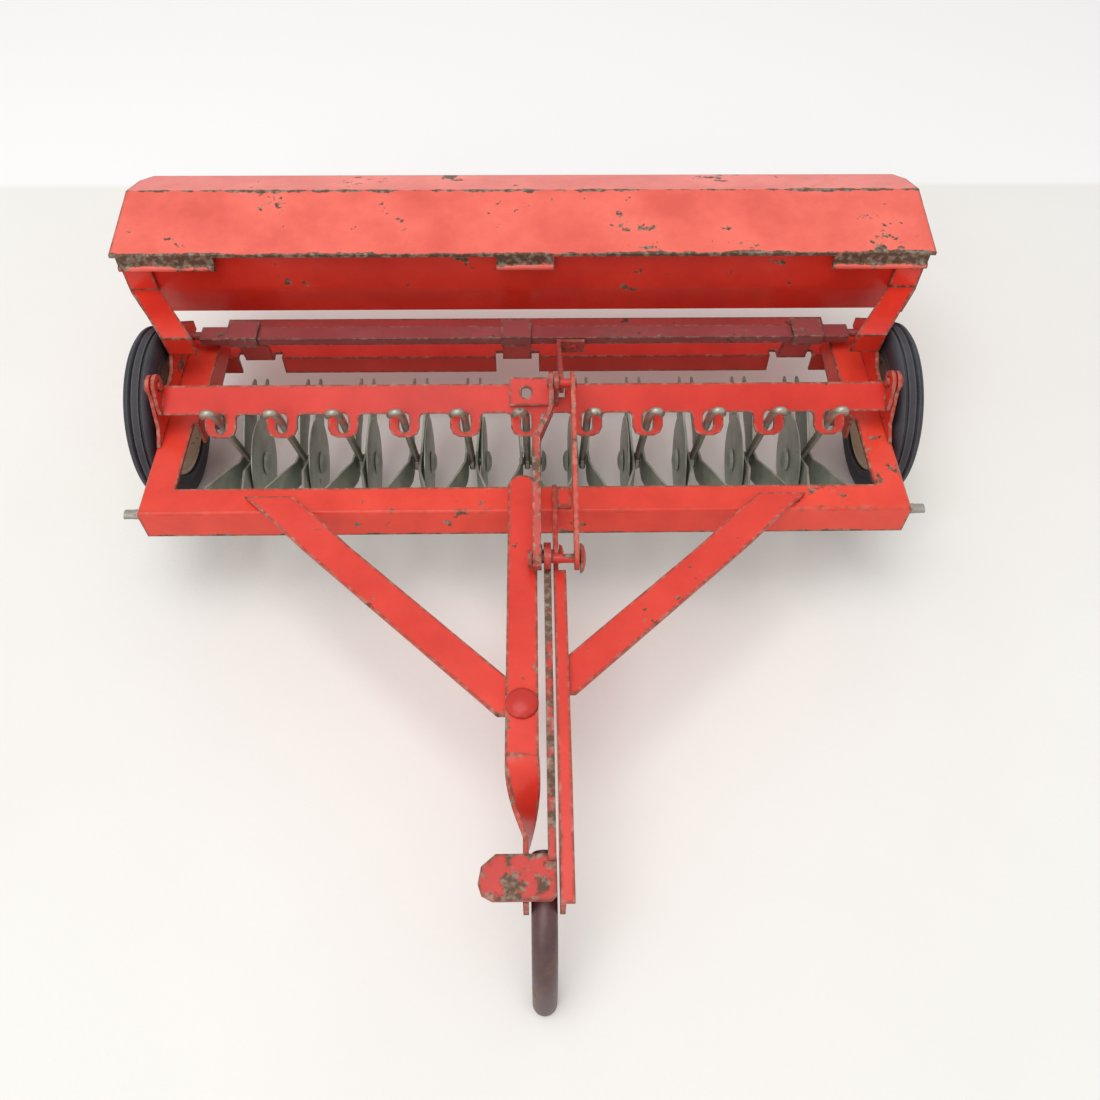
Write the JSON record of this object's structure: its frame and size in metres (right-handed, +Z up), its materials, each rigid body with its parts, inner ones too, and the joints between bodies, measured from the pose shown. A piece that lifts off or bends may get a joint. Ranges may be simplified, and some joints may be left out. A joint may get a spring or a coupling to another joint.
{
  "type": "corn planter",
  "caption": "Pressed-steel toy grain drill with a lidded hopper, a row of disc openers hung from a lift bar, ribbed rubber wheels and a braced tongue with a lift lever and hitch hook.",
  "frame": {"origin": "middle of the drill's box in plan, on the ground", "axes": "+X to the right across the drill, +Y to the back, the tongue towards -Y, +Z up"},
  "size_m": [0.2414, 0.2348, 0.0671],
  "materials": {
    "red_paint": "gloss",
    "opener_paint": "satin",
    "bare_steel": "satin",
    "dark_steel": "satin",
    "rim_paint": "satin",
    "tyre_rubber": "matte"
  },
  "bodies": {
    "frame": {"main_frame": "red_paint", "opener_pivot_rod": "bare_steel", "left_drawbar": "red_paint", "right_drawbar": "red_paint", "left_brace": "red_paint", "right_brace": "red_paint", "drawbar_rivet": "bare_steel", "hitch_hook": "dark_steel", "lever_pivot": "bare_steel", "support_arm": "red_paint", "cross_tube": "red_paint", "footboard": "red_paint", "end_plate_left": "red_paint", "end_plate_right": "red_paint", "hopper_body": "red_paint", "axle_stub_left": "bare_steel", "axle_stub_right": "bare_steel"},
    "bar": {"lift_bar": "red_paint", "bar_bracket": "red_paint"},
    "lever": {"lift_lever": "red_paint"},
    "link": {"long_link": "red_paint", "centre_link": "red_paint"},
    "lid_body": {"lid": "red_paint"},
    "wheel_left": {"tyre_left": "tyre_rubber", "rim_left": "rim_paint"},
    "wheel_right": {"tyre_right": "tyre_rubber", "rim_right": "rim_paint"},
    "opener_01": {"opener_arm_01": "opener_paint"},
    "disc_01": {"opener_disc_01": "bare_steel"},
    "wire_01": {"hanger_01": "bare_steel"},
    "opener_02": {"opener_arm_02": "opener_paint"},
    "disc_02": {"opener_disc_02": "bare_steel"},
    "wire_02": {"hanger_02": "bare_steel"},
    "opener_03": {"opener_arm_03": "opener_paint"},
    "disc_03": {"opener_disc_03": "bare_steel"},
    "wire_03": {"hanger_03": "bare_steel"},
    "opener_04": {"opener_arm_04": "opener_paint"},
    "disc_04": {"opener_disc_04": "bare_steel"},
    "wire_04": {"hanger_04": "bare_steel"},
    "opener_05": {"opener_arm_05": "opener_paint"},
    "disc_05": {"opener_disc_05": "bare_steel"},
    "wire_05": {"hanger_05": "bare_steel"},
    "opener_06": {"opener_arm_06": "opener_paint"},
    "disc_06": {"opener_disc_06": "bare_steel"},
    "wire_06": {"hanger_06": "bare_steel"},
    "opener_07": {"opener_arm_07": "opener_paint"},
    "disc_07": {"opener_disc_07": "bare_steel"},
    "wire_07": {"hanger_07": "bare_steel"},
    "opener_08": {"opener_arm_08": "opener_paint"},
    "disc_08": {"opener_disc_08": "bare_steel"},
    "wire_08": {"hanger_08": "bare_steel"},
    "opener_09": {"opener_arm_09": "opener_paint"},
    "disc_09": {"opener_disc_09": "bare_steel"},
    "wire_09": {"hanger_09": "bare_steel"},
    "opener_10": {"opener_arm_10": "opener_paint"},
    "disc_10": {"opener_disc_10": "bare_steel"},
    "wire_10": {"hanger_10": "bare_steel"},
    "opener_11": {"opener_arm_11": "opener_paint"},
    "disc_11": {"opener_disc_11": "bare_steel"},
    "wire_11": {"hanger_11": "bare_steel"}
  },
  "joints": [
    {"name": "bar_lift", "type": "hinge", "parent": "frame", "child": "bar", "pos_m": [0, 0.03283, 0.05143], "axis": [-1, 0, 0], "range_deg": [0, 32]},
    {"name": "lever_lift", "type": "hinge", "parent": "frame", "child": "lever", "pos_m": [0.0053, -0.0154, 0.038], "axis": [-1, 0, 0], "range_deg": [0, 32]},
    {"name": "link_swing", "type": "hinge", "parent": "lever", "child": "link", "pos_m": [0.0126, -0.0204, 0.043], "axis": [-1, 0, 0], "range_deg": [-32, 0]},
    {"name": "lid_hinge", "type": "hinge", "parent": "frame", "child": "lid_body", "pos_m": [0, 0.0739, 0.059], "axis": [1, 0, 0], "range_deg": [0, 100]},
    {"name": "wheel_left_spin", "type": "hinge", "parent": "frame", "child": "wheel_left", "pos_m": [-0.10845, 0.047, 0.0262], "axis": [1, 0, 0], "continuous": true},
    {"name": "wheel_right_spin", "type": "hinge", "parent": "frame", "child": "wheel_right", "pos_m": [0.10845, 0.047, 0.0262], "axis": [1, 0, 0], "continuous": true},
    {"name": "opener_01_swing", "type": "hinge", "parent": "frame", "child": "opener_01", "pos_m": [-0.08475, 0.0038, 0.0315], "axis": [1, 0, 0], "range_deg": [0, 12.8]},
    {"name": "disc_01_spin", "type": "hinge", "parent": "opener_01", "child": "disc_01", "pos_m": [-0.08475, 0.037, 0.0146], "axis": [1, 0, 0], "continuous": true},
    {"name": "wire_01_swing", "type": "hinge", "parent": "opener_01", "child": "wire_01", "pos_m": [-0.08475, 0.037, 0.0146], "axis": [1, 0, 0], "range_deg": [0, 1.84]},
    {"name": "opener_02_swing", "type": "hinge", "parent": "frame", "child": "opener_02", "pos_m": [-0.0678, 0.0038, 0.0315], "axis": [1, 0, 0], "range_deg": [0, 12.8]},
    {"name": "disc_02_spin", "type": "hinge", "parent": "opener_02", "child": "disc_02", "pos_m": [-0.0678, 0.037, 0.0146], "axis": [1, 0, 0], "continuous": true},
    {"name": "wire_02_swing", "type": "hinge", "parent": "opener_02", "child": "wire_02", "pos_m": [-0.0678, 0.037, 0.0146], "axis": [1, 0, 0], "range_deg": [0, 1.84]},
    {"name": "opener_03_swing", "type": "hinge", "parent": "frame", "child": "opener_03", "pos_m": [-0.05085, 0.0038, 0.0315], "axis": [1, 0, 0], "range_deg": [0, 12.8]},
    {"name": "disc_03_spin", "type": "hinge", "parent": "opener_03", "child": "disc_03", "pos_m": [-0.05085, 0.037, 0.0146], "axis": [1, 0, 0], "continuous": true},
    {"name": "wire_03_swing", "type": "hinge", "parent": "opener_03", "child": "wire_03", "pos_m": [-0.05085, 0.037, 0.0146], "axis": [1, 0, 0], "range_deg": [0, 1.84]},
    {"name": "opener_04_swing", "type": "hinge", "parent": "frame", "child": "opener_04", "pos_m": [-0.0339, 0.0038, 0.0315], "axis": [1, 0, 0], "range_deg": [0, 12.8]},
    {"name": "disc_04_spin", "type": "hinge", "parent": "opener_04", "child": "disc_04", "pos_m": [-0.0339, 0.037, 0.0146], "axis": [1, 0, 0], "continuous": true},
    {"name": "wire_04_swing", "type": "hinge", "parent": "opener_04", "child": "wire_04", "pos_m": [-0.0339, 0.037, 0.0146], "axis": [1, 0, 0], "range_deg": [0, 1.84]},
    {"name": "opener_05_swing", "type": "hinge", "parent": "frame", "child": "opener_05", "pos_m": [-0.01695, 0.0038, 0.0315], "axis": [1, 0, 0], "range_deg": [0, 12.8]},
    {"name": "disc_05_spin", "type": "hinge", "parent": "opener_05", "child": "disc_05", "pos_m": [-0.01695, 0.037, 0.0146], "axis": [1, 0, 0], "continuous": true},
    {"name": "wire_05_swing", "type": "hinge", "parent": "opener_05", "child": "wire_05", "pos_m": [-0.01695, 0.037, 0.0146], "axis": [1, 0, 0], "range_deg": [0, 1.84]},
    {"name": "opener_06_swing", "type": "hinge", "parent": "frame", "child": "opener_06", "pos_m": [0, 0.0038, 0.0315], "axis": [1, 0, 0], "range_deg": [0, 12.8]},
    {"name": "disc_06_spin", "type": "hinge", "parent": "opener_06", "child": "disc_06", "pos_m": [0, 0.037, 0.0146], "axis": [1, 0, 0], "continuous": true},
    {"name": "wire_06_swing", "type": "hinge", "parent": "opener_06", "child": "wire_06", "pos_m": [0, 0.037, 0.0146], "axis": [1, 0, 0], "range_deg": [0, 1.84]},
    {"name": "opener_07_swing", "type": "hinge", "parent": "frame", "child": "opener_07", "pos_m": [0.01695, 0.0038, 0.0315], "axis": [1, 0, 0], "range_deg": [0, 12.8]},
    {"name": "disc_07_spin", "type": "hinge", "parent": "opener_07", "child": "disc_07", "pos_m": [0.01695, 0.037, 0.0146], "axis": [1, 0, 0], "continuous": true},
    {"name": "wire_07_swing", "type": "hinge", "parent": "opener_07", "child": "wire_07", "pos_m": [0.01695, 0.037, 0.0146], "axis": [1, 0, 0], "range_deg": [0, 1.84]},
    {"name": "opener_08_swing", "type": "hinge", "parent": "frame", "child": "opener_08", "pos_m": [0.0339, 0.0038, 0.0315], "axis": [1, 0, 0], "range_deg": [0, 12.8]},
    {"name": "disc_08_spin", "type": "hinge", "parent": "opener_08", "child": "disc_08", "pos_m": [0.0339, 0.037, 0.0146], "axis": [1, 0, 0], "continuous": true},
    {"name": "wire_08_swing", "type": "hinge", "parent": "opener_08", "child": "wire_08", "pos_m": [0.0339, 0.037, 0.0146], "axis": [1, 0, 0], "range_deg": [0, 1.84]},
    {"name": "opener_09_swing", "type": "hinge", "parent": "frame", "child": "opener_09", "pos_m": [0.05085, 0.0038, 0.0315], "axis": [1, 0, 0], "range_deg": [0, 12.8]},
    {"name": "disc_09_spin", "type": "hinge", "parent": "opener_09", "child": "disc_09", "pos_m": [0.05085, 0.037, 0.0146], "axis": [1, 0, 0], "continuous": true},
    {"name": "wire_09_swing", "type": "hinge", "parent": "opener_09", "child": "wire_09", "pos_m": [0.05085, 0.037, 0.0146], "axis": [1, 0, 0], "range_deg": [0, 1.84]},
    {"name": "opener_10_swing", "type": "hinge", "parent": "frame", "child": "opener_10", "pos_m": [0.0678, 0.0038, 0.0315], "axis": [1, 0, 0], "range_deg": [0, 12.8]},
    {"name": "disc_10_spin", "type": "hinge", "parent": "opener_10", "child": "disc_10", "pos_m": [0.0678, 0.037, 0.0146], "axis": [1, 0, 0], "continuous": true},
    {"name": "wire_10_swing", "type": "hinge", "parent": "opener_10", "child": "wire_10", "pos_m": [0.0678, 0.037, 0.0146], "axis": [1, 0, 0], "range_deg": [0, 1.84]},
    {"name": "opener_11_swing", "type": "hinge", "parent": "frame", "child": "opener_11", "pos_m": [0.08475, 0.0038, 0.0315], "axis": [1, 0, 0], "range_deg": [0, 12.8]},
    {"name": "disc_11_spin", "type": "hinge", "parent": "opener_11", "child": "disc_11", "pos_m": [0.08475, 0.037, 0.0146], "axis": [1, 0, 0], "continuous": true},
    {"name": "wire_11_swing", "type": "hinge", "parent": "opener_11", "child": "wire_11", "pos_m": [0.08475, 0.037, 0.0146], "axis": [1, 0, 0], "range_deg": [0, 1.84]}
  ],
  "couplings": [
    {"joint": "lever_lift", "follows": "bar_lift", "ratio": 1},
    {"joint": "link_swing", "follows": "bar_lift", "ratio": -1},
    {"joint": "opener_01_swing", "follows": "bar_lift", "ratio": 0.4},
    {"joint": "wire_01_swing", "follows": "bar_lift", "ratio": 0.0572},
    {"joint": "opener_02_swing", "follows": "bar_lift", "ratio": 0.4},
    {"joint": "wire_02_swing", "follows": "bar_lift", "ratio": 0.0572},
    {"joint": "opener_03_swing", "follows": "bar_lift", "ratio": 0.4},
    {"joint": "wire_03_swing", "follows": "bar_lift", "ratio": 0.0572},
    {"joint": "opener_04_swing", "follows": "bar_lift", "ratio": 0.4},
    {"joint": "wire_04_swing", "follows": "bar_lift", "ratio": 0.0572},
    {"joint": "opener_05_swing", "follows": "bar_lift", "ratio": 0.4},
    {"joint": "wire_05_swing", "follows": "bar_lift", "ratio": 0.0572},
    {"joint": "opener_06_swing", "follows": "bar_lift", "ratio": 0.4},
    {"joint": "wire_06_swing", "follows": "bar_lift", "ratio": 0.0572},
    {"joint": "opener_07_swing", "follows": "bar_lift", "ratio": 0.4},
    {"joint": "wire_07_swing", "follows": "bar_lift", "ratio": 0.0572},
    {"joint": "opener_08_swing", "follows": "bar_lift", "ratio": 0.4},
    {"joint": "wire_08_swing", "follows": "bar_lift", "ratio": 0.0572},
    {"joint": "opener_09_swing", "follows": "bar_lift", "ratio": 0.4},
    {"joint": "wire_09_swing", "follows": "bar_lift", "ratio": 0.0572},
    {"joint": "opener_10_swing", "follows": "bar_lift", "ratio": 0.4},
    {"joint": "wire_10_swing", "follows": "bar_lift", "ratio": 0.0572},
    {"joint": "opener_11_swing", "follows": "bar_lift", "ratio": 0.4},
    {"joint": "wire_11_swing", "follows": "bar_lift", "ratio": 0.0572}
  ]
}
